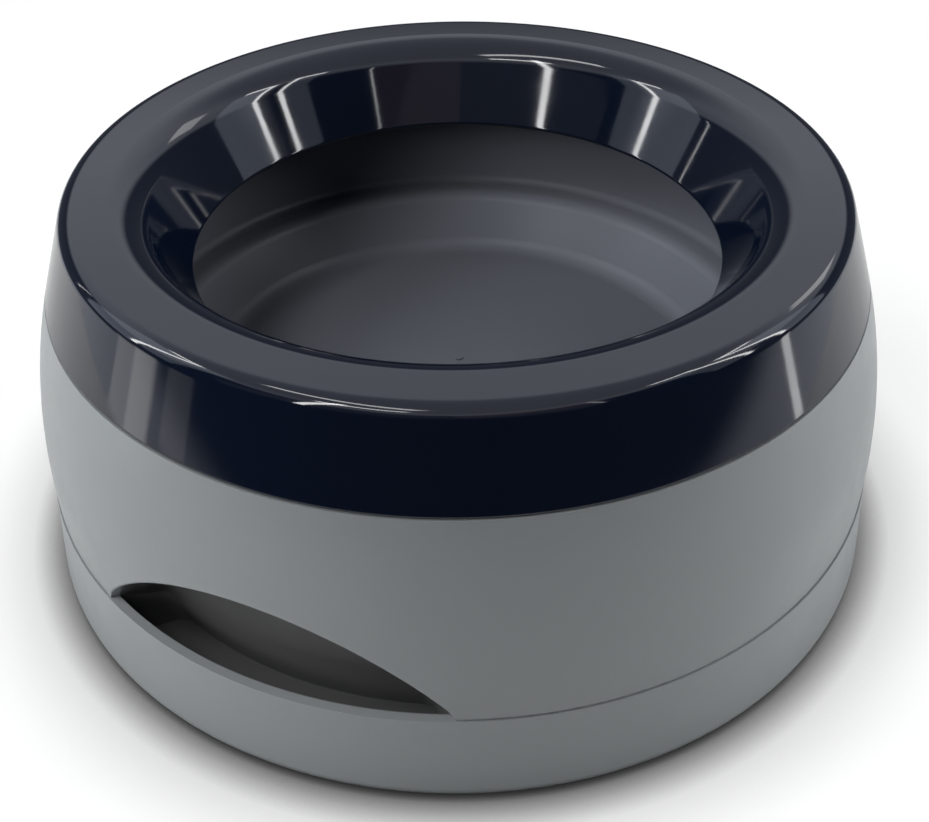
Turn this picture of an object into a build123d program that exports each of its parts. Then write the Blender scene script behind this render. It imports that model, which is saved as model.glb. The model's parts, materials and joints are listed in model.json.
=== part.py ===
from build123d import *
import math
import os

# No-spill dog water bowl. Millimetres, +Z up.
# The origin is on the floor, under the middle of the bowl. The front grip faces -Y.

# Outer form
overall_height = 121.0          # floor to the deck of the ring
seam_height = 94.0              # where the ring meets the barrel
seam_radius = 123.5             # outside of the barrel and the ring at the seam
barrel_swell = 8.3              # how much further out the barrel is at its widest
bulge_height = 41.0
crease_height = 31.2            # top of the plain band round the foot of the barrel
crease_step = 0.5               # how far the band stands out from the barrel
band_flare = 2.2                # how far the band's foot stands out past the barrel
band_foot_round = 4.0
band_wall = 2.8                 # at the lip of the band
shell_wall = 3.0
foot_lift = 1.2                 # the feet hold the band this far off the floor
edge_round = 0.6                # small rounds on moulded edges

# Splash ring
ring_wall = 2.6
shoulder_round = 5.0
deck_round = 12.0               # large round from the deck into the throat
deck_inset = 29.4               # from the seam in to where the straight throat would start
throat_draft = 14.5             # how much narrower the throat is at its lip
throat_depth = 24.4             # from the deck to the lip
lip_round = 1.0
spigot_wall = 2.4
spigot_depth = 9.0              # how far the spigot reaches below the seam
spigot_gap = 1.2                # from the spigot's foot to the bowl's wall
register_wall = 2.0             # short inner rib that centres the ring in the barrel
register_rise = 8.0             # how far above the seam that rib runs out in the skirt
ring_rib_count = 12
ring_rib_wall = 1.6
outer_rib_lift = 5.0            # from the seam to the foot of the outer ribs
inner_rib_lift = 6.0            # from the bowl's rim to the foot of the inner ribs

# Water bowl
bowl_wall = 2.6
bowl_rim_rise = 3.0             # how far the rim stands above the seam
bowl_inset = 12.9               # from the barrel's seam in to the inside of the rim
bowl_rim_round = 1.0
bowl_draft = 5.8                # how much narrower the upper wall is at the ledge
ledge_height = 61.0
ledge_width = 10.0
ledge_corner_round = 3.0
ledge_edge_round = 5.0
dish_draft = 10.8               # how much narrower the wall is at the dish floor
dish_height = 43.5
dish_round = 6.5
dish_slope = 11.0               # degrees that the floor rises from its edge
dish_rim_width = 14.0           # the sloped edge of the floor, outside its crown
gate_radius = 1.1               # small moulding mark in the middle of the floor
gate_height = 0.5
flange_wall = 2.5
bowl_foot_inset = 5.0           # from the edge of the floor in to the standing ring
bowl_foot_wall = 2.0
bowl_foot_drop = 4.5            # how far that ring reaches below the floor
bowl_rib_count = 8
bowl_rib_lift = 1.0             # from the floor's edge up to the foot of the ribs
bowl_rib_wall = 1.8
bowl_rib_inner_radius = 24.0

# Seat of the bowl inside the barrel
seat_drop = 6.5                 # from the seam down to the seat
seat_wall = 3.0
gusset_count = 18
gusset_wall = 1.8
gusset_drop = 16.0

# Finger grips, one in front and one behind
grip_half_width = 54.8          # half the width of the mouth at its sill
grip_apex_height = 61.0
pocket_floor_height = 15.0
pocket_depth = 19.5             # from the barrel in to the back wall at its floor
pocket_lean = 16.7              # degrees that the back wall leans out towards the top
pocket_taper = 43.0             # degrees that the ends and the roof close in
pocket_round = 5.0              # where the back wall meets the ends and the roof
hood_wall = 2.2
mouth_round = 0.8

# Tongue of the barrel behind the band
tongue_wall = 2.0
tongue_depth = 4.5
tongue_root = 7.0

# Base plate, moulded in one with the band
plate_wall = 2.5
plate_rib_count = 12
plate_rib_wall = 1.8
plate_rib_foot = 5.0
plate_inner_ring = 38.0         # radii of the two round ribs
plate_outer_ring = 82.0

# Screws between the base plate and the barrel
screw_spread = 35.0             # degrees between the three screws on each side
screw_inset = 10.2              # from the inside of the band to the middle of a screw
screw_radius = 1.9
screw_length = 16.0
screw_tip = 2.5
screw_head_radius = 3.8
screw_head_height = 2.4
screw_head_round = 1.0
screw_slot_width = 1.0
screw_slot_length = 4.4
screw_slot_depth = 1.4
column_wall = 1.8
column_foot = 4.0
boss_radius = 4.8
boss_height = 30.0
boss_hole_depth = 18.0
boss_web_wall = 1.8

# Rubber feet
foot_inset = 23.2               # from the inside of the band to the middle of a foot
foot_angle = 55.0               # degrees from the X axis
foot_radius = 10.5
foot_height = 4.5
foot_round = 1.2
foot_stand = 2.0                # how far a foot stands out of its cup
foot_dimple_radius = 5.0
foot_dimple_depth = 0.6
cup_wall = 2.0

# Ring seal
seal_height = 3.2
seal_lift = 3.6                 # from the spigot's foot to the middle of the seal
seal_groove_depth = 0.9
seal_heel = 0.5                 # how far the seal's body stands out of the groove
seal_lip_wall = 0.8

# Clearances
lift_gap = 0.3                  # flat faces of parts that lift off each other
side_gap = 0.4                  # round faces of parts that lift past each other
fit_gap = 0.1                   # parts that are pressed or screwed together
root = 1.0                      # how far ribs run into the walls that they join


# Shared geometry

bulge_radius = seam_radius + barrel_swell
barrel_rise = seam_height - bulge_height
barrel_arc = (barrel_swell**2 + barrel_rise**2) / (2 * barrel_swell)
skirt_slope = barrel_rise / math.sqrt(barrel_arc**2 - barrel_rise**2)


def barrel_radius(height, inset=0.0):
    """Radius of the barrel's wall at a height, set in from its outer face."""
    arc = barrel_arc - inset
    return bulge_radius - barrel_arc + math.sqrt(arc**2 - (height - bulge_height) ** 2)


band_top_radius = barrel_radius(crease_height) + crease_step
band_foot_radius = bulge_radius + band_flare
bowl_rim_height = seam_height + bowl_rim_rise
bowl_rim_radius = seam_radius - bowl_inset
ledge_radius = bowl_rim_radius - bowl_draft


def bowl_radius(height, outset=0.0):
    """Radius of the bowl's upper wall at a height, set out from its inner face."""
    share = (height - ledge_height) / (bowl_rim_height - ledge_height)
    return ledge_radius + share * (bowl_rim_radius - ledge_radius) + outset


def upright(angle):
    """The upright plane through the axis whose first axis points out at an angle."""
    return Plane.XZ.rotated((0, 0, angle))


def evenly(count, start=0.0):
    """Angles of features that are evenly spaced round the axis."""
    return [start + turn * 360 / count for turn in range(count)]


def polar(radius, angle):
    """A place on the floor at a radius and an angle."""
    turn = math.radians(angle)
    return (radius * math.cos(turn), radius * math.sin(turn))


seat_height = seam_height - seat_drop
flange_foot = seat_height + lift_gap
flange_top = flange_foot + flange_wall
shell_inner_seam = barrel_radius(seam_height, shell_wall)
flange_radius = shell_inner_seam - 2 * side_gap
band_inner_radius = band_top_radius - band_wall
tongue_radius = band_inner_radius - fit_gap
mouth_plane_depth = math.sqrt(bulge_radius**2 - grip_half_width**2)
pocket_back_radius = bulge_radius - pocket_depth
plate_foot = pocket_floor_height - plate_wall


# Splash ring: skirt, deck and throat are one wall with a spigot and ribs beneath it

skirt_foot_height = seam_height + lift_gap
skirt_foot_radius = seam_radius - lift_gap * skirt_slope
deck_corner_radius = seam_radius - (overall_height - seam_height) * skirt_slope
deck_underside = overall_height - ring_wall
throat_edge_radius = seam_radius - deck_inset
throat_lip_radius = throat_edge_radius - throat_draft
throat_lip_height = overall_height - throat_depth
spigot_foot = seam_height - spigot_depth
spigot_radius = bowl_radius(spigot_foot) - spigot_gap
register_radius = shell_inner_seam - side_gap
register_foot = flange_top + lift_gap
register_root = seam_height + register_rise
outer_rib_foot = seam_height + outer_rib_lift
inner_rib_foot = bowl_rim_height + inner_rib_lift
ring_foot = min(spigot_foot, throat_lip_height - ring_wall)
seal_middle = spigot_foot + seal_lift
seal_groove_height = seal_height + 2 * fit_gap

with BuildLine() as ring_skin:
    FilletPolyline(
        (skirt_foot_radius, skirt_foot_height),
        (deck_corner_radius, overall_height),
        (throat_edge_radius, overall_height),
        (throat_lip_radius, throat_lip_height),
        radius=(shoulder_round, deck_round),
    )

with BuildPart() as splash_ring:
    with BuildSketch(Plane.XZ) as ring_section:
        with BuildLine():
            add(ring_skin.line)
            offset(ring_skin.line, amount=ring_wall, side=Side.LEFT)
        make_face()
        ring_corners = ring_section.vertices().sort_by(Axis.X)
        fillet(ring_corners[:2], radius=lip_round)
        fillet(ring_section.vertices().sort_by(Axis.X)[-1], radius=edge_round)
    revolve(axis=Axis.Z)
    with BuildSketch(Plane.XZ):
        with Locations((spigot_radius, spigot_foot)):
            Rectangle(spigot_wall, deck_underside + root - spigot_foot, align=(Align.MAX, Align.MIN))
        with Locations((spigot_radius, seal_middle)):
            Rectangle(
                seal_groove_depth,
                seal_groove_height,
                align=(Align.MAX, Align.CENTER),
                mode=Mode.SUBTRACT,
            )
        with Locations((register_radius, register_foot)):
            Rectangle(register_wall, register_root - register_foot, align=(Align.MAX, Align.MIN))
    revolve(axis=Axis.Z)
    for angle in evenly(ring_rib_count, 180 / ring_rib_count):
        with BuildSketch(upright(angle)):
            with Locations((spigot_radius - root, outer_rib_foot)):
                Rectangle(
                    skirt_foot_radius - spigot_radius,
                    overall_height - outer_rib_foot,
                    align=(Align.MIN, Align.MIN),
                )
        extrude(amount=ring_rib_wall / 2, both=True)
    for angle in evenly(ring_rib_count, 180 / ring_rib_count):
        with BuildSketch(upright(angle)):
            with Locations((spigot_radius - root, inner_rib_foot)):
                Rectangle(
                    spigot_radius - throat_lip_radius,
                    overall_height - inner_rib_foot,
                    align=(Align.MAX, Align.MIN),
                )
        extrude(amount=ring_rib_wall / 2, both=True)
    with BuildSketch(Plane.XZ):
        with BuildLine():
            add(ring_skin.line)
            Polyline(
                (throat_lip_radius, throat_lip_height),
                (throat_lip_radius, ring_foot),
                (register_radius, ring_foot),
                (register_radius, skirt_foot_height),
                (skirt_foot_radius, skirt_foot_height),
            )
        make_face()
    revolve(axis=Axis.Z, mode=Mode.INTERSECT)


# Ring seal: a soft band in the spigot's groove with a lip that faces the bowl's wall

seal_inner_radius = spigot_radius - seal_groove_depth + fit_gap
seal_foot = seal_middle - seal_height / 2
seal_top = seal_foot + seal_height
seal_lip_radius = bowl_radius(seal_top) - side_gap

with BuildPart() as ring_seal:
    with BuildSketch(Plane.XZ):
        with BuildLine():
            Polyline(
                (seal_inner_radius, seal_foot),
                (spigot_radius + seal_heel, seal_foot),
                (seal_lip_radius, seal_top - seal_lip_wall),
                (seal_lip_radius, seal_top),
                (seal_inner_radius, seal_top),
                close=True,
            )
        make_face()
    revolve(axis=Axis.Z)


# Water bowl: upper wall, ledge, dish and a crowned floor

ledge_inner_radius = ledge_radius - ledge_width
dish_radius = ledge_inner_radius - dish_draft
dish_crown_radius = dish_radius - dish_rim_width
crown_start_height = dish_height + dish_rim_width * math.tan(math.radians(dish_slope))
crown_rise = dish_crown_radius * math.tan(math.radians(dish_slope / 2))
crown_height = crown_start_height + crown_rise
bowl_foot_radius = dish_radius - bowl_foot_inset
bowl_foot_height = dish_height - bowl_foot_drop
bowl_rib_foot = dish_height + bowl_rib_lift

with BuildLine() as bowl_skin:
    bowl_run = FilletPolyline(
        (bowl_rim_radius, bowl_rim_height),
        (ledge_radius, ledge_height),
        (ledge_inner_radius, ledge_height),
        (dish_radius, dish_height),
        (dish_crown_radius, crown_start_height),
        radius=(ledge_corner_round, ledge_edge_round, dish_round),
    )
    TangentArc(bowl_run @ 1, (0, crown_height), tangent=bowl_run % 1)

with BuildPart() as water_bowl:
    with BuildSketch(Plane.XZ) as bowl_section:
        with BuildLine():
            add(bowl_skin.line)
            offset(bowl_skin.line, amount=bowl_wall, side=Side.LEFT)
        make_face()
        rim_corners = bowl_section.vertices().sort_by(Axis.Y)[-2:]
        fillet(rim_corners, radius=bowl_rim_round)
    revolve(axis=Axis.Z)
    with BuildSketch(Plane.XZ):
        with Locations((flange_radius, flange_foot)):
            Rectangle(
                flange_radius - bowl_radius(flange_foot, root),
                flange_wall,
                align=(Align.MAX, Align.MIN),
            )
        with Locations((bowl_foot_radius, bowl_foot_height)):
            Rectangle(bowl_foot_wall, dish_height - bowl_foot_height, align=(Align.MIN, Align.MIN))
    revolve(axis=Axis.Z)
    for angle in evenly(bowl_rib_count):
        with BuildSketch(upright(angle)):
            with Locations((bowl_rib_inner_radius, bowl_rib_foot)):
                Rectangle(
                    bowl_foot_radius - bowl_rib_inner_radius,
                    crown_height - bowl_rib_foot,
                    align=(Align.MIN, Align.MIN),
                )
        extrude(amount=bowl_rib_wall / 2, both=True)
    with BuildSketch(Plane.XZ):
        with BuildLine():
            add(bowl_skin.line)
            Polyline(
                (0, crown_height),
                (0, bowl_rim_height),
                (bowl_rim_radius, bowl_rim_height),
            )
        make_face()
    revolve(axis=Axis.Z, mode=Mode.SUBTRACT)
    with Locations((0, 0, crown_height - bowl_wall / 2)):
        Cylinder(
            gate_radius,
            gate_height + bowl_wall / 2,
            align=(Align.CENTER, Align.CENTER, Align.MIN),
        )


# Finger pockets: the space of the front one, and the block that its walls are cut from


def grip_outline(grow):
    """Points of the arched mouth, grown evenly, as left, apex and right."""
    sagitta = grip_apex_height - crease_height
    radius = (grip_half_width**2 + sagitta**2) / (2 * sagitta) + grow
    centre = grip_apex_height + grow - radius
    half = grip_half_width + grow
    spring = centre + math.sqrt(radius**2 - half**2)
    return half, spring, grip_apex_height + grow


def back_wall_radius(height, inset):
    """Radius of the pocket's back wall at a height."""
    rise = height - pocket_floor_height
    return pocket_back_radius + rise * math.tan(math.radians(pocket_lean)) - inset


def pocket_solid(grow):
    """A pocket's space, or with growth the block that holds its walls."""
    half, spring, apex = grip_outline(grow)
    inward = Plane(
        origin=(0, -mouth_plane_depth, 0), x_dir=(-1, 0, 0), z_dir=(0, 1, 0)
    )
    depth = mouth_plane_depth - pocket_back_radius / 2
    with BuildPart() as solid:
        with BuildSketch(inward):
            with BuildLine():
                ThreePointArc((-half, spring), (0, apex), (half, spring))
                Polyline((half, spring), (half, -depth), (-half, -depth), (-half, spring))
            make_face()
        extrude(amount=-(bulge_radius - mouth_plane_depth + root))
        with BuildSketch(inward):
            with BuildLine():
                ThreePointArc((-half, spring), (0, apex), (half, spring))
                Polyline((half, spring), (half, -depth), (-half, -depth), (-half, spring))
            make_face()
        extrude(amount=bulge_radius - pocket_back_radius, taper=pocket_taper)
        split(bisect_by=Plane.XY.offset(pocket_floor_height), keep=Keep.TOP)
        with BuildSketch(Plane.XZ):
            with BuildLine():
                Polyline(
                    (0, 0),
                    (back_wall_radius(0, grow), 0),
                    (back_wall_radius(seam_height, grow), seam_height),
                    (0, seam_height),
                    close=True,
                )
            make_face()
        revolve(axis=Axis.Z, mode=Mode.SUBTRACT)
    return solid.part


def on_back_wall(edge):
    """Whether an edge bounds the pocket's back wall above its floor."""
    middle = edge @ 0.5
    reach = math.hypot(middle.X, middle.Y)
    high = middle.Z > pocket_floor_height + fit_gap
    return high and reach < back_wall_radius(middle.Z, 0) + fit_gap


def on_mouth(edge):
    """Whether an edge of the barrel bounds a pocket's mouth above its sill."""
    middle = edge @ 0.5
    reach = math.hypot(middle.X, middle.Y)
    high = crease_height + root < middle.Z < grip_apex_height + root
    return high and abs(reach - barrel_radius(middle.Z)) < fit_gap


pocket_core = pocket_solid(0)
pocket_block = pocket_solid(hood_wall)

with BuildPart() as pocket_space:
    add(pocket_core)
    fillet(pocket_space.edges().filter_by(on_back_wall), radius=pocket_round)


# Body shell: the barrel with the bowl's seat, the pockets, a tongue and screw bosses

seat_radius = bowl_radius(flange_foot, bowl_wall) + side_gap
gusset_foot = seat_height - seat_wall - gusset_drop
tongue_foot = crease_height - tongue_depth
screw_circle_radius = band_inner_radius - screw_inset
screw_angles = [side + step * screw_spread for side in (0, 180) for step in (-1, 0, 1)]

with BuildPart() as body_shell:
    with BuildSketch(Plane.XZ) as barrel_section:
        with BuildLine():
            ThreePointArc(
                (barrel_radius(seam_height), seam_height),
                (bulge_radius, bulge_height),
                (barrel_radius(crease_height), crease_height),
            )
            ThreePointArc(
                (barrel_radius(seam_height, shell_wall), seam_height),
                (bulge_radius - shell_wall, bulge_height),
                (barrel_radius(crease_height, shell_wall), crease_height),
            )
            Line(
                (barrel_radius(seam_height), seam_height),
                (barrel_radius(seam_height, shell_wall), seam_height),
            )
            Line(
                (barrel_radius(crease_height), crease_height),
                (barrel_radius(crease_height, shell_wall), crease_height),
            )
        make_face()
        barrel_corners = barrel_section.vertices().sort_by(Axis.Y)
        fillet(barrel_corners[:2].sort_by(Axis.X)[-1], radius=edge_round)
        fillet(barrel_corners[2:], radius=edge_round)
    revolve(axis=Axis.Z)
    with BuildSketch(Plane.XZ):
        with Locations((seat_radius, seat_height)):
            Rectangle(
                barrel_radius(seat_height, root) - seat_radius,
                seat_wall,
                align=(Align.MIN, Align.MAX),
            )
        with BuildLine():
            Polyline(
                (tongue_radius, tongue_foot),
                (tongue_radius, crease_height + root),
                (barrel_radius(crease_height, root), crease_height + root),
                (barrel_radius(crease_height, root), crease_height + tongue_root),
                (tongue_radius - tongue_wall, crease_height + root),
                (tongue_radius - tongue_wall, tongue_foot),
                close=True,
            )
        make_face()
    revolve(axis=Axis.Z)
    for angle in evenly(gusset_count, 180 / gusset_count):
        with BuildSketch(upright(angle)):
            with BuildLine():
                Polyline(
                    (seat_radius + root, seat_height - root),
                    (barrel_radius(seat_height, root), seat_height - root),
                    (barrel_radius(gusset_foot, root), gusset_foot),
                    close=True,
                )
            make_face()
        extrude(amount=gusset_wall / 2, both=True)
    for angle in screw_angles:
        with BuildSketch(Plane.XY.offset(pocket_floor_height)):
            with Locations(polar(screw_circle_radius, angle)):
                Circle(boss_radius)
            with Locations(Location(polar(screw_circle_radius, angle), angle)):
                Rectangle(
                    bulge_radius - shell_wall + root - screw_circle_radius,
                    boss_web_wall,
                    align=(Align.MIN, Align.CENTER),
                )
        extrude(amount=boss_height)
    for turn in (0, 180):
        add(pocket_block, rotation=(0, 0, turn))
    with BuildSketch(Plane.XZ):
        with BuildLine():
            ThreePointArc(
                (barrel_radius(seam_height), seam_height),
                (bulge_radius, bulge_height),
                (barrel_radius(crease_height), crease_height),
            )
            Polyline(
                (barrel_radius(crease_height), crease_height),
                (tongue_radius, crease_height),
                (tongue_radius, pocket_floor_height),
                (0, pocket_floor_height),
                (0, seam_height),
                (barrel_radius(seam_height), seam_height),
            )
        make_face()
    revolve(axis=Axis.Z, mode=Mode.INTERSECT)
    for turn in (0, 180):
        add(pocket_space.part, rotation=(0, 0, turn), mode=Mode.SUBTRACT)
    for angle in screw_angles:
        with BuildSketch(Plane.XY.offset(pocket_floor_height)):
            with Locations(polar(screw_circle_radius, angle)):
                Circle(screw_radius + fit_gap)
        extrude(amount=boss_hole_depth, mode=Mode.SUBTRACT)
    mouth_edges = body_shell.edges().filter_by(on_mouth)
    fillet(mouth_edges, radius=mouth_round)


# Base tray: the flared band, the plate inside it, ribs, screw columns and foot cups

column_radius = screw_head_radius + fit_gap + column_wall
cup_radius = foot_radius + fit_gap + cup_wall
foot_circle_radius = band_inner_radius - foot_inset
foot_places = {
    "front_left_foot": 180 + foot_angle,
    "front_right_foot": 360 - foot_angle,
    "rear_left_foot": 180 - foot_angle,
    "rear_right_foot": foot_angle,
}

with BuildPart() as base_tray:
    with BuildSketch(Plane.XZ) as band_section:
        with BuildLine():
            Polyline(
                (band_top_radius, crease_height),
                (band_foot_radius, foot_lift),
                (band_inner_radius, foot_lift),
                (band_inner_radius, crease_height),
                close=True,
            )
        make_face()
        band_corners = band_section.vertices().sort_by(Axis.Y)
        fillet(band_corners[:2].sort_by(Axis.X)[-1], radius=band_foot_round)
        fillet(band_corners[2:], radius=edge_round)
        with Locations((0, plate_foot)):
            Rectangle(band_inner_radius + root, plate_wall, align=(Align.MIN, Align.MIN))
        for ring_radius in (plate_inner_ring, plate_outer_ring):
            with Locations((ring_radius, plate_rib_foot)):
                Rectangle(
                    plate_rib_wall,
                    plate_foot + root - plate_rib_foot,
                    align=(Align.MIN, Align.MIN),
                )
    revolve(axis=Axis.Z)
    for angle in evenly(plate_rib_count, 180 / plate_rib_count):
        with BuildSketch(upright(angle)):
            with Locations((plate_inner_ring + root, plate_rib_foot)):
                Rectangle(
                    band_inner_radius - plate_inner_ring,
                    plate_foot + root - plate_rib_foot,
                    align=(Align.MIN, Align.MIN),
                )
        extrude(amount=plate_rib_wall / 2, both=True)
    with BuildSketch(Plane.XY.offset(column_foot)):
        for angle in screw_angles:
            with Locations(polar(screw_circle_radius, angle)):
                Circle(column_radius)
    extrude(amount=plate_foot + root - column_foot)
    with BuildSketch(Plane.XY.offset(foot_stand)):
        for angle in foot_places.values():
            with Locations(polar(foot_circle_radius, angle)):
                Circle(cup_radius)
    extrude(amount=pocket_floor_height - foot_stand)
    with BuildSketch(Plane.XY.offset(foot_stand)):
        for angle in foot_places.values():
            with Locations(polar(foot_circle_radius, angle)):
                Circle(foot_radius + fit_gap)
    extrude(amount=foot_height - foot_stand, mode=Mode.SUBTRACT)
    with BuildSketch(Plane.XY.offset(foot_height + cup_wall)):
        for angle in foot_places.values():
            with Locations(polar(foot_circle_radius, angle)):
                Circle(foot_radius + fit_gap)
    extrude(amount=pocket_floor_height, mode=Mode.SUBTRACT)
    with BuildSketch(Plane.XY.offset(column_foot)):
        for angle in screw_angles:
            with Locations(polar(screw_circle_radius, angle)):
                Circle(screw_head_radius + fit_gap)
    extrude(amount=plate_foot - column_foot, mode=Mode.SUBTRACT)
    with BuildSketch(Plane.XY.offset(plate_foot)):
        for angle in screw_angles:
            with Locations(polar(screw_circle_radius, angle)):
                Circle(screw_radius + fit_gap)
    extrude(amount=plate_wall, mode=Mode.SUBTRACT)


# Base screws: six self-tappers with cross slots, all in one group

screw_head_foot = plate_foot - screw_head_height
screw_end = plate_foot + screw_length

with BuildPart() as one_screw:
    with BuildSketch(Plane.XZ):
        with BuildLine():
            FilletPolyline(
                (0, screw_head_foot),
                (screw_head_radius, screw_head_foot),
                (screw_head_radius, plate_foot),
                radius=screw_head_round,
            )
            Polyline(
                (screw_head_radius, plate_foot),
                (screw_radius, plate_foot),
                (screw_radius, screw_end - screw_tip),
                (0, screw_end),
                (0, screw_head_foot),
            )
        make_face()
    revolve(axis=Axis.Z)
    with BuildSketch(Plane.XY.offset(screw_head_foot)):
        Rectangle(screw_slot_length, screw_slot_width)
        Rectangle(screw_slot_width, screw_slot_length)
    extrude(amount=screw_slot_depth, mode=Mode.SUBTRACT)

with BuildPart() as base_screws:
    for angle in screw_angles:
        with Locations(Location((*polar(screw_circle_radius, angle), 0), (0, 0, angle))):
            add(one_screw.part)


# Export

os.makedirs("parts", exist_ok=True)

for foot_name, angle in foot_places.items():
    with BuildPart() as rubber_foot:
        with Locations((*polar(foot_circle_radius, angle), 0)):
            Cylinder(foot_radius, foot_height, align=(Align.CENTER, Align.CENTER, Align.MIN))
        fillet(rubber_foot.edges().sort_by(Axis.Z)[0], radius=foot_round)
        with Locations((*polar(foot_circle_radius, angle), 0)):
            Cylinder(
                foot_dimple_radius,
                foot_dimple_depth,
                align=(Align.CENTER, Align.CENTER, Align.MIN),
                mode=Mode.SUBTRACT,
            )
    rubber_foot.part.label = foot_name
    export_step(rubber_foot.part, f"parts/{foot_name}.step")

splash_ring.part.label = "splash_ring"
export_step(splash_ring.part, "parts/splash_ring.step")
ring_seal.part.label = "ring_seal"
export_step(ring_seal.part, "parts/ring_seal.step")
water_bowl.part.label = "water_bowl"
export_step(water_bowl.part, "parts/water_bowl.step")
body_shell.part.label = "body_shell"
export_step(body_shell.part, "parts/body_shell.step")
base_tray.part.label = "base_tray"
export_step(base_tray.part, "parts/base_tray.step")
base_screws.part.label = "base_screws"
export_step(base_screws.part, "parts/base_screws.step")
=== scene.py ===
import json
import math
import bpy
from mathutils import Matrix, Vector


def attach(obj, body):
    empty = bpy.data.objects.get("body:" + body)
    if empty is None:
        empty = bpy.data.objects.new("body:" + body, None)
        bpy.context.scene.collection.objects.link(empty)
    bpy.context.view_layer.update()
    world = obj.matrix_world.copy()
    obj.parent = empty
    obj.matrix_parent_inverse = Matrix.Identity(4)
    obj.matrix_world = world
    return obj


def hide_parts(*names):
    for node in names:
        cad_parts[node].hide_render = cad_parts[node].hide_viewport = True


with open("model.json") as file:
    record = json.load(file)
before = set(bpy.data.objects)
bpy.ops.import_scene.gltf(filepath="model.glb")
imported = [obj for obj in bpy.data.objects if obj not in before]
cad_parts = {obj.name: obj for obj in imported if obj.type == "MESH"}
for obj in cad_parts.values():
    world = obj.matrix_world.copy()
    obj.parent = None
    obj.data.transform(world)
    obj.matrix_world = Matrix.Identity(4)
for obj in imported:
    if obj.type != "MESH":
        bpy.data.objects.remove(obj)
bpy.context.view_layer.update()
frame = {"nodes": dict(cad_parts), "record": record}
nodes = frame["nodes"]

# Sizes in millimetres, as in the CAD part. Meshes and materials are in metres.
MM = 0.001

OVERALL_HEIGHT = 121.0
SEAM_HEIGHT = 94.0              # where the ring's skirt meets the barrel
SEAM_RADIUS = 123.5
BULGE_HEIGHT = 41.0             # the barrel's widest place
BULGE_RADIUS = 131.8
LIFT_GAP = 0.3                  # between the skirt's foot and the barrel

RING_WALL = 2.6
SHOULDER_ROUND = 5.0
DECK_ROUND = 12.0               # large round from the deck into the throat
THROAT_EDGE_RADIUS = 94.1
THROAT_LIP_RADIUS = 79.6
THROAT_LIP_HEIGHT = 96.6
LIP_ROUND = 1.0
SKIRT_FOOT_ROUND = 0.5
SPIGOT_RADIUS = 107.47
SPIGOT_WALL = 2.4
SPIGOT_FOOT = 85.0
SPIGOT_ROUND = 0.6
SPIGOT_ROOT_ROUND = 0.5
REGISTER_RADIUS = 119.95        # short inner rib that centres the ring in the barrel
REGISTER_WALL = 2.0
REGISTER_FOOT = 90.6
REGISTER_ROUND = 0.4
RING_RIBS = 12
RING_RIB_WALL = 1.6
RIB_ROOT = 1.0                  # from the spigot's outer face in to where the ribs start
OUTER_RIB_FOOT = 99.0
INNER_RIB_FOOT = 103.0
INNER_RIB_RISE = 9.0            # height over which the inner ribs follow the throat

GRIP_HALF_WIDTH = 54.8
GRIP_APEX = 61.0
GRIP_SILL = 31.2
GRIP_FLOOR = 15.0
GRIP_DEPTH = 19.5               # from the barrel's widest radius in to the back wall's foot
GRIP_LEAN = 16.7                # degrees that the back wall leans out towards the top
GRIP_TAPER = 43.0               # degrees that the ends and the roof close in
GRIP_WALL = 2.2

TURNS = 256                     # steps of a full turn in the ring
ARC_STEPS = 12                  # steps of a rounded corner
SHARP_ANGLE = 35                # degrees from which an edge shades as a sharp one
LONGEST_RUN = 6.0               # longest straight step of the ring's outline
RUN_MARGIN = 0.3                # from a run's ends to its first cuts

barrel_drop = BULGE_RADIUS - SEAM_RADIUS
barrel_rise = SEAM_HEIGHT - BULGE_HEIGHT
barrel_arc = (barrel_drop**2 + barrel_rise**2) / (2 * barrel_drop)
skirt_slope = barrel_rise / math.sqrt(barrel_arc**2 - barrel_rise**2)


# Mesh helpers


def mesh_object(name, verts, faces):
    """A smooth-shaded mesh from points in millimetres."""
    mesh = bpy.data.meshes.new(name)
    mesh.from_pydata([[c * MM for c in v] for v in verts], [], faces)
    mesh.validate()
    mesh.polygons.foreach_set("use_smooth", [True] * len(mesh.polygons))
    mesh.set_sharp_from_angle(angle=math.radians(SHARP_ANGLE))
    obj = bpy.data.objects.new(name, mesh)
    bpy.context.collection.objects.link(obj)
    return obj


def join(name, parts):
    """One object from several (points, faces) pairs."""
    verts, faces = [], []
    for points, polygons in parts:
        start = len(verts)
        verts += points
        faces += [[start + i for i in f] for f in polygons]
    return mesh_object(name, verts, faces)


def rounded(corners):
    """A closed outline of (radius, height, rounding) corners, with the corners turned into arcs."""
    out = []
    for i, (*corner, rounding) in enumerate(corners):
        here = Vector(corner)
        if not rounding:
            out.append(tuple(here))
            continue
        a = (Vector(corners[i - 1][:2]) - here).normalized()
        b = (Vector(corners[(i + 1) % len(corners)][:2]) - here).normalized()
        half = a.angle(b) / 2
        reach = rounding / math.tan(half)
        centre = here + (a + b).normalized() * (rounding / math.sin(half))
        start, end = here + a * reach - centre, here + b * reach - centre
        sweep = start.angle_signed(end)
        for k in range(ARC_STEPS + 1):
            out.append(tuple(centre + Matrix.Rotation(-sweep * k / ARC_STEPS, 2) @ start))
    return out


def split_runs(profile):
    """The same outline with its long runs cut, also close to their ends, so that flats shade flat."""
    out = []
    for a, b in zip(profile, profile[1:] + profile[:1]):
        length = math.dist(a, b)
        if length < LONGEST_RUN:
            out.append(tuple(a))
            continue
        parts = math.ceil(length / LONGEST_RUN)
        margin = RUN_MARGIN / length
        stops = [0, margin] + [k / parts for k in range(1, parts)] + [1 - margin]
        out += [tuple(Vector(a).lerp(Vector(b), stop)) for stop in stops]
    return out


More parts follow.
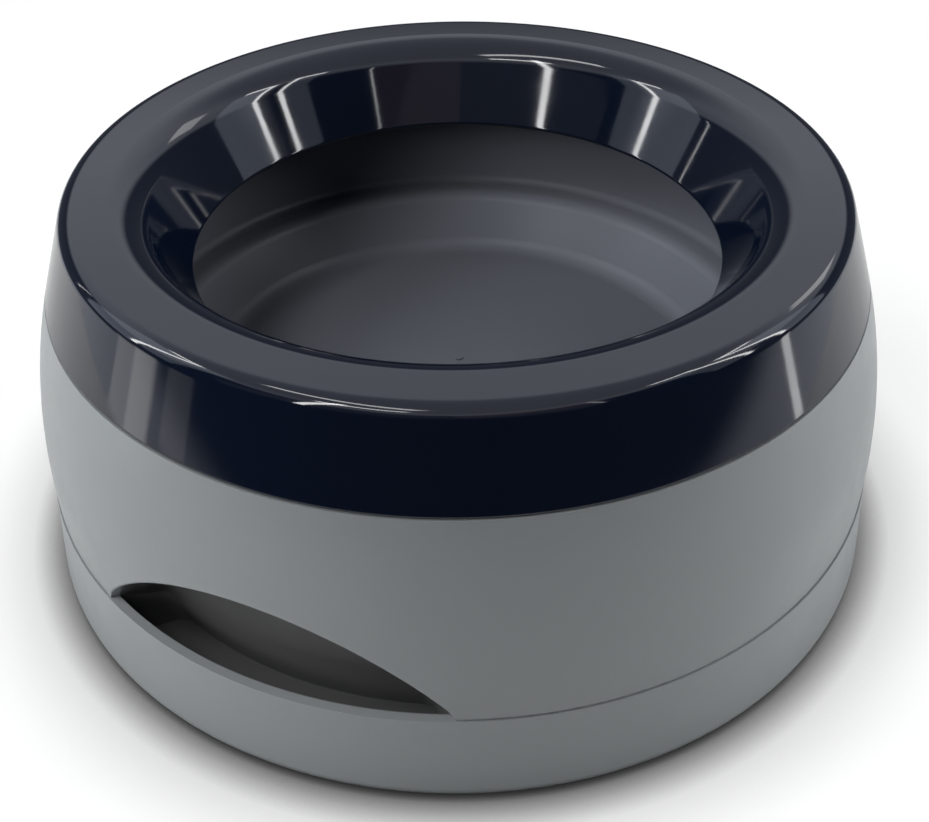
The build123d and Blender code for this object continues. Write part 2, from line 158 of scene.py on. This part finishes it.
def lathe(profile):
    """Points and faces of a closed (radius, height) outline turned about the Z axis."""
    size = len(profile)
    verts, faces = [], []
    for c in range(TURNS):
        angle = math.radians(360 * c / TURNS)
        verts += [(r * math.cos(angle), r * math.sin(angle), z) for r, z in profile]
    for c in range(TURNS):
        d = (c + 1) % TURNS
        for i in range(size):
            j = (i + 1) % size
            faces.append([c * size + i, d * size + i, d * size + j, c * size + j])
    return verts, faces


def upright_slab(outline, thickness, angle):
    """A flat rib: a (radius, height) outline at an angle, with a thickness."""
    turn = math.radians(angle)
    out_x, out_y = math.cos(turn), math.sin(turn)
    verts = []
    for side in (-thickness / 2, thickness / 2):
        verts += [(r * out_x - side * out_y, r * out_y + side * out_x, z) for r, z in outline]
    n = len(outline)
    faces = [list(range(n)), [n + i for i in reversed(range(n))]]
    faces += [[i, n + i, n + (i + 1) % n, (i + 1) % n] for i in range(n)]
    return verts, faces


def offset_line(points, distance):
    """An open outline moved sideways, to its left as it runs."""
    normals = []
    for a, b in zip(points, points[1:]):
        run = (Vector(b) - Vector(a)).normalized()
        normals.append(Vector((-run.y, run.x)))
    out = [Vector(points[0]) + normals[0] * distance]
    for corner, n1, n2 in zip(points[1:], normals, normals[1:]):
        bisector = (n1 + n2).normalized()
        out.append(Vector(corner) + bisector * (distance / bisector.dot(n1)))
    out.append(Vector(points[-1]) + normals[-1] * distance)
    return [tuple(p) for p in out]


# Splash ring


def ring_moulding():
    """The ring's wall, turned from one closed outline, with ribs on both sides of its spigot."""
    skirt_foot = SEAM_HEIGHT + LIFT_GAP
    outside = [
        (SEAM_RADIUS - LIFT_GAP * skirt_slope, skirt_foot),
        (SEAM_RADIUS - (OVERALL_HEIGHT - SEAM_HEIGHT) * skirt_slope, OVERALL_HEIGHT),
        (THROAT_EDGE_RADIUS, OVERALL_HEIGHT),
        (THROAT_LIP_RADIUS, THROAT_LIP_HEIGHT),
    ]
    inside = offset_line(outside, RING_WALL)
    shoulder_inside = inside[1][0]
    lip_inside, lip_height = inside[3]
    deck_under = OVERALL_HEIGHT - RING_WALL

    skirt_inside = inside[0][0] + (inside[0][1] - skirt_foot) * skirt_slope
    register_inside = REGISTER_RADIUS - REGISTER_WALL
    register_top = skirt_foot + (skirt_inside - REGISTER_RADIUS) / skirt_slope
    register_inside_top = skirt_foot + (skirt_inside - register_inside) / skirt_slope
    spigot_inside = SPIGOT_RADIUS - SPIGOT_WALL
    outline = [
        (*outside[0], SKIRT_FOOT_ROUND),
        (*outside[1], SHOULDER_ROUND),
        (*outside[2], DECK_ROUND),
        (*outside[3], LIP_ROUND),
        (*inside[3], LIP_ROUND),
        (*inside[2], DECK_ROUND - RING_WALL),
        (spigot_inside, deck_under, SPIGOT_ROOT_ROUND),
        (spigot_inside, SPIGOT_FOOT, SPIGOT_ROUND),
        (SPIGOT_RADIUS, SPIGOT_FOOT, SPIGOT_ROUND),
        (SPIGOT_RADIUS, deck_under, SPIGOT_ROOT_ROUND),
        (*inside[1], SHOULDER_ROUND - RING_WALL),
        (register_inside, register_inside_top, 0),
        (register_inside, REGISTER_FOOT, REGISTER_ROUND),
        (REGISTER_RADIUS, REGISTER_FOOT, REGISTER_ROUND),
        (REGISTER_RADIUS, register_top, 0),
        (skirt_inside, skirt_foot, REGISTER_ROUND),
    ]

    # The ribs end inside the walls that they meet.
    mid = RING_WALL / 2
    root = SPIGOT_RADIUS - RIB_ROOT
    top = deck_under + mid
    outer_rib = [
        (root, OUTER_RIB_FOOT),
        (root, top),
        (shoulder_inside, top),
        (shoulder_inside + (deck_under - OUTER_RIB_FOOT) * skirt_slope + mid, OUTER_RIB_FOOT),
    ]
    throat_depth = OVERALL_HEIGHT - THROAT_LIP_HEIGHT
    throat_slope = (THROAT_EDGE_RADIUS - THROAT_LIP_RADIUS) / throat_depth
    inner_reach = lip_inside + (INNER_RIB_FOOT - lip_height) * throat_slope - mid
    inner_rib = [
        (root, INNER_RIB_FOOT),
        (root, top),
        (THROAT_EDGE_RADIUS + DECK_ROUND / 2, top),
        (inner_reach + INNER_RIB_RISE * throat_slope, INNER_RIB_FOOT + INNER_RIB_RISE),
        (inner_reach, INNER_RIB_FOOT),
    ]

    parts = [lathe(split_runs(rounded(outline)))]
    for k in range(RING_RIBS):
        angle = (k + 0.5) * 360 / RING_RIBS
        parts.append(upright_slab(outer_rib, RING_RIB_WALL, angle))
        parts.append(upright_slab(inner_rib, RING_RIB_WALL, angle))
    return join("ring_moulding", parts)


ring = ring_moulding()
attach(ring, "ring")
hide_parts("splash_ring")


# Shader helpers. An input is either a plain value or another node's output.


def feed(tree, value, socket):
    """Set a socket to a plain value, or link it from an output."""
    if isinstance(value, bpy.types.NodeSocket):
        tree.links.new(value, socket)
    else:
        socket.default_value = value


def node(tree, kind, operation=None, **inputs):
    """A new node with its named inputs fed."""
    made = tree.nodes.new(kind)
    if operation:
        made.operation = operation
    for name, value in inputs.items():
        feed(tree, value, made.inputs[name.replace("_", " ")])
    return made


def maths(tree, operation, a, b=0.0):
    """A sum, product or other function of two inputs."""
    made = node(tree, "ShaderNodeMath", operation)
    for socket, value in zip(made.inputs, (a, b)):
        feed(tree, value, socket)
    return made.outputs["Value"]


def ramp(tree, value, start, end, low, high, smooth=False):
    """Low up to the start, high from the end on, and a slope between them."""
    limits = {"From_Min": start, "From_Max": end, "To_Min": low, "To_Max": high}
    made = node(tree, "ShaderNodeMapRange", Value=value, **limits)
    if smooth:
        made.interpolation_type = "SMOOTHSTEP"
    return made.outputs["Result"]


def mix_colors(tree, factor, a, b):
    """A colour between two."""
    made = tree.nodes.new("ShaderNodeMix")
    made.data_type = "RGBA"
    for name, value in (("Factor", factor), ("A", a), ("B", b)):
        feed(tree, value, made.inputs[name])
    return made.outputs["Result"]


def mix_shaders(tree, factor, a, b):
    """A shader between two."""
    made = tree.nodes.new("ShaderNodeMixShader")
    for socket, value in zip(made.inputs, (factor, a, b)):
        feed(tree, value, socket)
    return made.outputs["Shader"]


# Materials

RING_NAVY = (0.0014, 0.003, 0.0085)
BOWL_GREY = (0.131, 0.141, 0.164)
BOWL_DARK = (0.127, 0.137, 0.159)
BOWL_LIGHT = (0.135, 0.145, 0.169)
SHELL_GREY = (0.171, 0.184, 0.189)
SHELL_DARK = (0.165, 0.178, 0.183)
SHELL_LIGHT = (0.177, 0.19, 0.195)
# A dark grey painted over the grips' inner faces as shade for their recess.
GRIP_SHADE_GREY = (0.078, 0.078, 0.079)
SEAL_BLACK = (0.02, 0.02, 0.021)
FOOT_BLACK = (0.024, 0.024, 0.025)
ZINC_GREY = (0.55, 0.55, 0.56)
DUST_RANGE = (0.8, 1.6)         # rubber's colour drifts between these shares of it

NOISE_RANGE = (0.3, 0.7)        # nearly all of a noise lies between these values
LEVEL_STREAKS = (1, 1, 2)       # a noise that changes twice as fast with height

BOWL_SPECULAR = 0.12

# The painted shade of the grips takes in their inner faces, not the mouth's edge in the barrel.
GRIP_SHADE_OUTER = 129.5
GRIP_SHADE_START = 95.0               # from the middle towards the front and the rear
GRIP_SHADE_EDGE = 0.4                 # over which the painted shade fades in


def material(name, color, rough):
    """A material with its plain colour and roughness on the shader's own sockets."""
    mat = bpy.data.materials.new(name)
    mat.use_nodes = True
    shade(mat.node_tree, Base_Color=(*color, 1), Roughness=rough)
    return mat


def shade(tree, **inputs):
    """Feed the named inputs of a material's shader."""
    shader = tree.nodes["Principled BSDF"]
    for name, value in inputs.items():
        feed(tree, value, shader.inputs[name.replace("_", " ")])


def noise(tree, scale, detail, stretch=(1, 1, 1)):
    """Noise in the object's own space, in cycles per metre."""
    place = node(tree, "ShaderNodeTexCoord").outputs["Object"]
    shape = node(tree, "ShaderNodeMapping", Vector=place, Scale=stretch).outputs["Vector"]
    made = node(tree, "ShaderNodeTexNoise", Vector=shape, Scale=scale, Detail=detail)
    return made.outputs["Fac"]


def drift(tree, value, low, high):
    """A value between two limits, by a noise."""
    return ramp(tree, value, *NOISE_RANGE, low, high)


def tint(tree, value, dark, light):
    """A colour between two, by a noise."""
    return mix_colors(tree, value, (*dark, 1), (*light, 1))


def bump(tree, value, depth, under=None):
    """Relief of a depth in metres, over an earlier relief."""
    made = node(tree, "ShaderNodeBump", Strength=1.0, Distance=depth, Height=value)
    if under is not None:
        tree.links.new(under, made.inputs["Normal"])
    return made.outputs["Normal"]


def length_of(tree, a, b):
    """The length of a step with two sides at a right angle."""
    squares = maths(tree, "ADD", maths(tree, "POWER", a, 2), maths(tree, "POWER", b, 2))
    return maths(tree, "SQRT", squares)


def painted_grip_shade(tree):
    """1 where shade is painted on the inner faces of the two finger grips and 0 elsewhere, from the
    object's own space.

    Each limit is how far a place lies within one side of the zone. Roof, ends, back and floor are
    drawn through the middle of the grip's wall, so that the wall's far face keeps the plain colour.
    """
    rise = GRIP_APEX - GRIP_SILL
    arc = (GRIP_HALF_WIDTH**2 + rise**2) / (2 * rise)
    mouth = math.sqrt(BULGE_RADIUS**2 - GRIP_HALF_WIDTH**2)
    back_foot = BULGE_RADIUS - GRIP_DEPTH
    taper, lean = (math.tan(math.radians(angle)) for angle in (GRIP_TAPER, GRIP_LEAN))
    mid = GRIP_WALL / 2

    place = node(tree, "ShaderNodeTexCoord").outputs["Object"]
    apart = node(tree, "ShaderNodeSeparateXYZ", Vector=place).outputs
    aside = maths(tree, "ABSOLUTE", apart["X"])
    forth = maths(tree, "ABSOLUTE", apart["Y"])
    height = apart["Z"]
    reach = length_of(tree, aside, forth)
    behind_mouth = maths(tree, "MAXIMUM", maths(tree, "SUBTRACT", mouth * MM, forth), 0)
    closing = maths(tree, "MULTIPLY", behind_mouth, taper)
    over_centre = maths(tree, "MAXIMUM", maths(tree, "SUBTRACT", height, (GRIP_APEX - arc) * MM), 0)
    from_centre = maths(tree, "ADD", length_of(tree, aside, over_centre), closing)
    over_floor = maths(tree, "SUBTRACT", height, GRIP_FLOOR * MM)
    upright_reach = maths(tree, "SUBTRACT", reach, maths(tree, "MULTIPLY", over_floor, lean))
    limits = (
        maths(tree, "SUBTRACT", (arc + mid) * MM, from_centre),
        maths(tree, "SUBTRACT", (GRIP_HALF_WIDTH + mid) * MM, maths(tree, "ADD", aside, closing)),
        maths(tree, "SUBTRACT", upright_reach, (back_foot - mid) * MM),
        maths(tree, "SUBTRACT", GRIP_SHADE_OUTER * MM, reach),
        maths(tree, "SUBTRACT", forth, GRIP_SHADE_START * MM),
        maths(tree, "SUBTRACT", height, (GRIP_FLOOR - mid) * MM),
    )
    within = limits[0]
    for limit in limits[1:]:
        within = maths(tree, "MINIMUM", within, limit)
    return ramp(tree, within, 0, GRIP_SHADE_EDGE * MM, 0, 1)


def gloss_plastic():
    """High gloss black with a navy tint, a soft orange peel and faint smears."""
    mat = material("ring_gloss", RING_NAVY, rough=0.1)
    tree = mat.node_tree
    smears = noise(tree, scale=38, detail=4, stretch=LEVEL_STREAKS)
    peel = bump(tree, noise(tree, scale=260, detail=2), depth=0.000004)
    grain = bump(tree, noise(tree, scale=2600, detail=2), depth=0.0000008, under=peel)
    shade(tree, Roughness=drift(tree, smears, 0.045, 0.085), Normal=grain)
    return mat


def satin_plastic():
    """Dark grey plastic with a fine even grain and wiping marks."""
    mat = material("bowl_satin", BOWL_GREY, rough=0.36)
    tree = mat.node_tree
    color = tint(tree, noise(tree, scale=22, detail=2), BOWL_DARK, BOWL_LIGHT)
    wiping = noise(tree, scale=40, detail=1, stretch=LEVEL_STREAKS)
    grain = bump(tree, noise(tree, scale=1100, detail=1), depth=0.000002)
    shade(tree, Base_Color=color, Roughness=drift(tree, wiping, 0.33, 0.39), Normal=grain)
    shade(tree, Specular_IOR_Level=BOWL_SPECULAR)
    return mat


def grey_plastic():
    """Semi-gloss light grey with a fine mould texture, and painted shade inside the grips."""
    mat = material("shell_grey", SHELL_GREY, rough=0.33)
    tree = mat.node_tree
    plain = tint(tree, noise(tree, scale=14, detail=3), SHELL_DARK, SHELL_LIGHT)
    # Painted shade: the grips' inner faces take the darker grey.
    color = mix_colors(tree, painted_grip_shade(tree), plain, (*GRIP_SHADE_GREY, 1))
    smears = noise(tree, scale=45, detail=4)
    grain = bump(tree, noise(tree, scale=1500, detail=3), depth=0.000003)
    shade(tree, Base_Color=color, Roughness=drift(tree, smears, 0.28, 0.38), Normal=grain)
    return mat


def soft_rubber(name, color):
    """Matt rubber with a dusty, slightly uneven skin."""
    mat = material(name, color, rough=0.7)
    tree = mat.node_tree
    dark, light = ([share * c for c in color] for share in DUST_RANGE)
    skin = bump(tree, noise(tree, scale=1200, detail=4), depth=0.00001)
    dust = tint(tree, noise(tree, scale=90, detail=5), dark, light)
    shade(tree, Base_Color=dust, Normal=skin)
    return mat


def zinc():
    """Zinc-plated steel with a cloudy finish."""
    mat = material("screw_steel", ZINC_GREY, rough=0.3)
    tree = mat.node_tree
    clouds = noise(tree, scale=300, detail=4)
    shade(tree, Metallic=1.0, Roughness=drift(tree, clouds, 0.22, 0.42))
    return mat


looks = {
    "ring_gloss": gloss_plastic(),
    "bowl_satin": satin_plastic(),
    "shell_grey": grey_plastic(),
    "seal_rubber": soft_rubber("seal_rubber", SEAL_BLACK),
    "foot_rubber": soft_rubber("foot_rubber", FOOT_BLACK),
    "screw_steel": zinc(),
}

for entry in frame["record"]["subparts"]:
    obj = nodes[entry["node"]]
    obj.data.materials.clear()
    obj.data.materials.append(looks[entry["material_slot"]])
ring.data.materials.append(looks["ring_gloss"])


# Camera

CAM_AZIMUTH = 25.4              # degrees to the right of the front grip
CAM_DISTANCE = 0.36983          # level distance from the axis, in metres
CAM_HEIGHT = 0.31844
CAM_YAW, CAM_PITCH, CAM_ROLL = 0.25, 37.83, 0.63
FOCAL_PIXELS = 1400
PICTURE_WIDTH = 929
SENSOR_WIDTH = 36

azimuth = math.radians(CAM_AZIMUTH)
toward_camera = Vector((math.sin(azimuth), -math.cos(azimuth), 0))


def add_camera():
    """The scene's camera, fitted to the photograph's outlines."""
    cam = bpy.data.objects.new("camera", bpy.data.cameras.new("camera"))
    bpy.context.collection.objects.link(cam)
    cam.data.lens = FOCAL_PIXELS / PICTURE_WIDTH * SENSOR_WIDTH
    cam.data.sensor_width = SENSOR_WIDTH
    yaw, pitch, roll = (math.radians(a) for a in (CAM_YAW, CAM_PITCH, CAM_ROLL))
    level = math.cos(pitch)
    ahead = Vector((math.sin(yaw) * level, math.cos(yaw) * level, -math.sin(pitch)))
    forward = Matrix.Rotation(azimuth, 3, "Z") @ ahead
    right = forward.cross(Vector((0, 0, 1))).normalized()
    down = forward.cross(right)
    rolled_right = right * math.cos(roll) + down * math.sin(roll)
    rolled_down = down * math.cos(roll) - right * math.sin(roll)
    turn = Matrix((rolled_right, -rolled_down, -forward)).transposed()
    place = toward_camera * CAM_DISTANCE + Vector((0, 0, CAM_HEIGHT))
    cam.matrix_world = Matrix.Translation(place) @ turn.to_4x4()
    return cam


bpy.context.scene.camera = add_camera()


# Floor: a round sheet, white where it lies open and shaded under and beside the bowl

FLOOR_RADIUS = 420.0
FLOOR_SIDES = 128
FLOOR_WHITE = 1.0               # its colour as the camera sees it
FLOOR_GREY = 0.7                # its colour as the bowl sees it
FLOOR_GLOW = 1.0
FLOOR_GLOW_SHARE = 0.7          # share of the glow in what the camera sees
SHADE_REACH = 0.036             # how far the soft shade runs out, in metres
CONTACT_REACH = 0.012           # the same for the tight shade at the bowl's foot
CONTACT_DEPTH = 1.8             # power that deepens the tight shade


def floor_material():
    """A matt sheet whose shade comes from what stands near it, with a glow that only the camera sees."""
    mat = bpy.data.materials.new("floor")
    mat.use_nodes = True
    tree = mat.node_tree
    seen = node(tree, "ShaderNodeLightPath").outputs["Is Camera Ray"]
    grey, white = ((level, level, level, 1) for level in (FLOOR_GREY, FLOOR_WHITE))
    sheet = mix_colors(tree, seen, grey, white)
    soft_shade = node(tree, "ShaderNodeAmbientOcclusion", Color=sheet, Distance=SHADE_REACH)
    close_shade = node(tree, "ShaderNodeAmbientOcclusion", Distance=CONTACT_REACH)
    contact = maths(tree, "POWER", close_shade.outputs["AO"], CONTACT_DEPTH)
    under = soft_shade.outputs["Color"]
    shaded = node(tree, "ShaderNodeVectorMath", "SCALE", Vector=under, Scale=contact)
    color = shaded.outputs["Vector"]
    matt = node(tree, "ShaderNodeBsdfDiffuse", Color=color).outputs["BSDF"]
    glow = node(tree, "ShaderNodeEmission", Color=color, Strength=FLOOR_GLOW).outputs["Emission"]
    both = mix_shaders(tree, maths(tree, "MULTIPLY", seen, FLOOR_GLOW_SHARE), matt, glow)
    tree.links.new(both, tree.nodes["Material Output"].inputs["Surface"])
    return mat


rim_angles = [math.radians(360 * k / FLOOR_SIDES) for k in range(FLOOR_SIDES)]
floor_rim = [(FLOOR_RADIUS * math.cos(a), FLOOR_RADIUS * math.sin(a), 0) for a in rim_angles]
floor = mesh_object("floor", floor_rim, [list(range(FLOOR_SIDES))])
floor.data.materials.append(floor_material())


# Surroundings: a white room that is dark low behind the photographer, over a pale table

ROOM_BRIGHT = 0.93
ROOM_RISE = 0.14                # how much brighter the room is above GLOW_HEIGHTS
ROOM_TOP = 0.5                  # the middle of the ceiling, before that rise
ROOM_DARK = 0.07
ROOM_TINT = (0.93, 0.98, 1.06)
TABLE_BRIGHT = 0.76
SOFT_SHARE = 0.05               # share of the room's light that reaches matt surfaces

# Where the room changes, as heights on a sphere of radius 1
HAZE_HEIGHTS = (0.345, 0.45)
GLOW_HEIGHTS = (0.5, 0.6)
CEILING_HEIGHTS = (0.64, 0.82)
TABLE_HEIGHTS = (-0.22, -0.17)
DARK_TOP_HEIGHTS = (0.61, 0.72)
# Where the dark part starts and is full, as the cosine of the angle from the camera's side
DARK_SIDES = (0.06, 0.2)
JUST_OVER_ONE = 1.0001          # keeps the root above zero straight up and down


def room_strength(tree):
    """The room's brightness in a direction."""
    direction = node(tree, "ShaderNodeTexCoord").outputs["Generated"]
    toward = node(tree, "ShaderNodeVectorMath", "DOT_PRODUCT", Vector=direction)
    toward.inputs[1].default_value = toward_camera
    height = node(tree, "ShaderNodeSeparateXYZ", Vector=direction).outputs["Z"]
    squared = maths(tree, "MULTIPLY", height, height)
    level = maths(tree, "SQRT", maths(tree, "SUBTRACT", JUST_OVER_ONE, squared))
    facing = maths(tree, "DIVIDE", toward.outputs["Value"], level)

    def step(value, limits, low, high):
        return ramp(tree, value, *limits, low, high, smooth=True)

    near_side = step(facing, DARK_SIDES, 0.0, 1.0)
    low_part = step(height, DARK_TOP_HEIGHTS, 1.0, 0.0)
    open_part = maths(tree, "SUBTRACT", 1.0, maths(tree, "MULTIPLY", near_side, low_part))
    haze = step(height, HAZE_HEIGHTS, ROOM_DARK, ROOM_BRIGHT)
    glow = maths(tree, "ADD", haze, step(height, GLOW_HEIGHTS, 0.0, ROOM_RISE))
    dimmer_top = step(height, CEILING_HEIGHTS, 0.0, ROOM_BRIGHT - ROOM_TOP)
    ceiling = maths(tree, "SUBTRACT", glow, dimmer_top)
    table = step(height, TABLE_HEIGHTS, TABLE_BRIGHT, ROOM_DARK / 2)
    return maths(tree, "ADD", maths(tree, "MULTIPLY", open_part, ceiling), table)


def dress_world():
    """The room as gloss sees it, dimmed for matt surfaces, and plain white for the camera."""
    world = bpy.context.scene.world or bpy.data.worlds.new("world")
    bpy.context.scene.world = world
    world.use_nodes = True
    tree = world.node_tree
    tree.nodes.clear()
    ray = node(tree, "ShaderNodeLightPath").outputs
    held_back = maths(tree, "MULTIPLY", ray["Is Diffuse Ray"], 1 - SOFT_SHARE)
    passed = maths(tree, "SUBTRACT", 1.0, held_back)
    strength = maths(tree, "MULTIPLY", room_strength(tree), passed)
    lit = node(tree, "ShaderNodeBackground", Color=(*ROOM_TINT, 1), Strength=strength)
    shown = node(tree, "ShaderNodeBackground", Color=(1, 1, 1, 1), Strength=1.0)
    both = mix_shaders(tree, ray["Is Camera Ray"], lit.outputs[0], shown.outputs[0])
    node(tree, "ShaderNodeOutputWorld", Surface=both)


dress_world()


# Lamps: upright strips, level bars and soft panels round the bowl

LAMP_AIM = Vector((0, 0, 0.1))
LAMP_DISTANCE = 1.6
LEVEL_WATTS = 4                 # watts of each square metre of a lamp of level 1
WHITE = (1, 1, 1)
COOL = (0.85, 0.93, 1.1)
BROWN = (1.0, 0.6, 0.6)

# Name, degrees round from the camera's side, degrees up, distance behind the first lamps, width
# and height in degrees as seen from the bowl, level and colour. These show in gloss only.
MIRRORED_LAMPS = (
    ("strip_right", 88.5, 25, 0, 2.0, 40, 10, WHITE),
    ("strip_right_near", 77, 28, 0, 2.0, 40, 11, WHITE),
    ("strip_front_right", 37, 34, 0, 0.7, 16, 5, WHITE),
    ("strip_front_left", -41, 39, 0, 2.6, 34, 13, WHITE),
    ("strip_left", -88.5, 25, 0, 2.2, 40, 11, WHITE),
    ("strip_left_far", -114, 13, 0, 0.8, 16, 4, WHITE),
    ("bar_right", 96, 46, 0, 13, 2.0, 10, WHITE),
    ("bar_right_near", 71, 49, 0, 11, 2.0, 10, WHITE),
    ("bar_front_left", -32, 52, 0, 19, 2.4, 12, WHITE),
    ("bar_left", -95, 46, 0, 12, 2.0, 10, WHITE),
    ("curtain_right", 98, 22, 0.1, 18, 44, 0.7, COOL),
    ("curtain_right_near", 70, 28, 0.1, 9, 40, 0.45, COOL),
    ("curtain_left", -99, 22, 0.1, 20, 44, 0.75, COOL),
    ("curtain_left_near", -81, 27, 0.1, 11, 40, 0.6, COOL),
    ("card_front", -15, 34, 0.2, 90, 20, 0.1, COOL),
    ("card_brown", 17, 36, 0.1, 30, 14, 0.12, BROWN),
    ("low_left", -84, -12, 0, 8, 12, 0.7, WHITE),
    ("low_left_wide", -88, -13, 0.05, 14, 12, 0.5, WHITE),
    ("low_left_near", -72, -10, 0, 8, 5, 0.3, WHITE),
    ("low_right", 89.5, -14, 0, 3.0, 12, 2.9, WHITE),
    ("window_right", 134, 36, 0, 14, 10, 2, WHITE),
    ("top_strip", -55, 68, 0, 34, 4, 7, WHITE),
)
# These light matt surfaces only.
SOFT_LAMPS = (
    ("key_low", -45, 26, 0, 28, 16, 4.4, WHITE),
    ("key_mid", -45, 42, 0, 28, 16, 2, WHITE),
    ("key_high", -45, 58, 0, 28, 16, 6.5, WHITE),
    ("upper_left", -90, 40, 0, 28, 16, 5, WHITE),
    ("side_left", -95, 10, 0, 40, 20, 8, WHITE),
    ("side_right", 100, 8, 0, 40, 20, 12, WHITE),
    ("upper_right", 100, 27, 0, 40, 16, 4.5, WHITE),
)


def panel(name, angle, rise, behind, wide, tall, level, color):
    """A flat lamp that faces the bowl."""
    distance = LAMP_DISTANCE + behind
    lamp = bpy.data.lights.new(name, "AREA")
    lamp.shape = "RECTANGLE"
    lamp.size = 2 * distance * math.tan(math.radians(wide / 2))
    lamp.size_y = 2 * distance * math.tan(math.radians(tall / 2))
    lamp.energy = level * LEVEL_WATTS * lamp.size * lamp.size_y
    lamp.color = color
    obj = bpy.data.objects.new(name, lamp)
    bpy.context.collection.objects.link(obj)
    across, up = math.radians(CAM_AZIMUTH + angle), math.radians(rise)
    level_part = math.cos(up)
    out = Vector((math.sin(across) * level_part, -math.cos(across) * level_part, math.sin(up)))
    obj.location = LAMP_AIM + out * distance
    obj.rotation_mode = "QUATERNION"
    obj.rotation_quaternion = (-out).to_track_quat("-Z", "Y")
    obj.visible_camera = False
    return obj


for row in MIRRORED_LAMPS:
    panel(*row).visible_diffuse = False
for row in SOFT_LAMPS:
    panel(*row).visible_glossy = False


bpy.context.scene.view_settings.view_transform = "Standard"
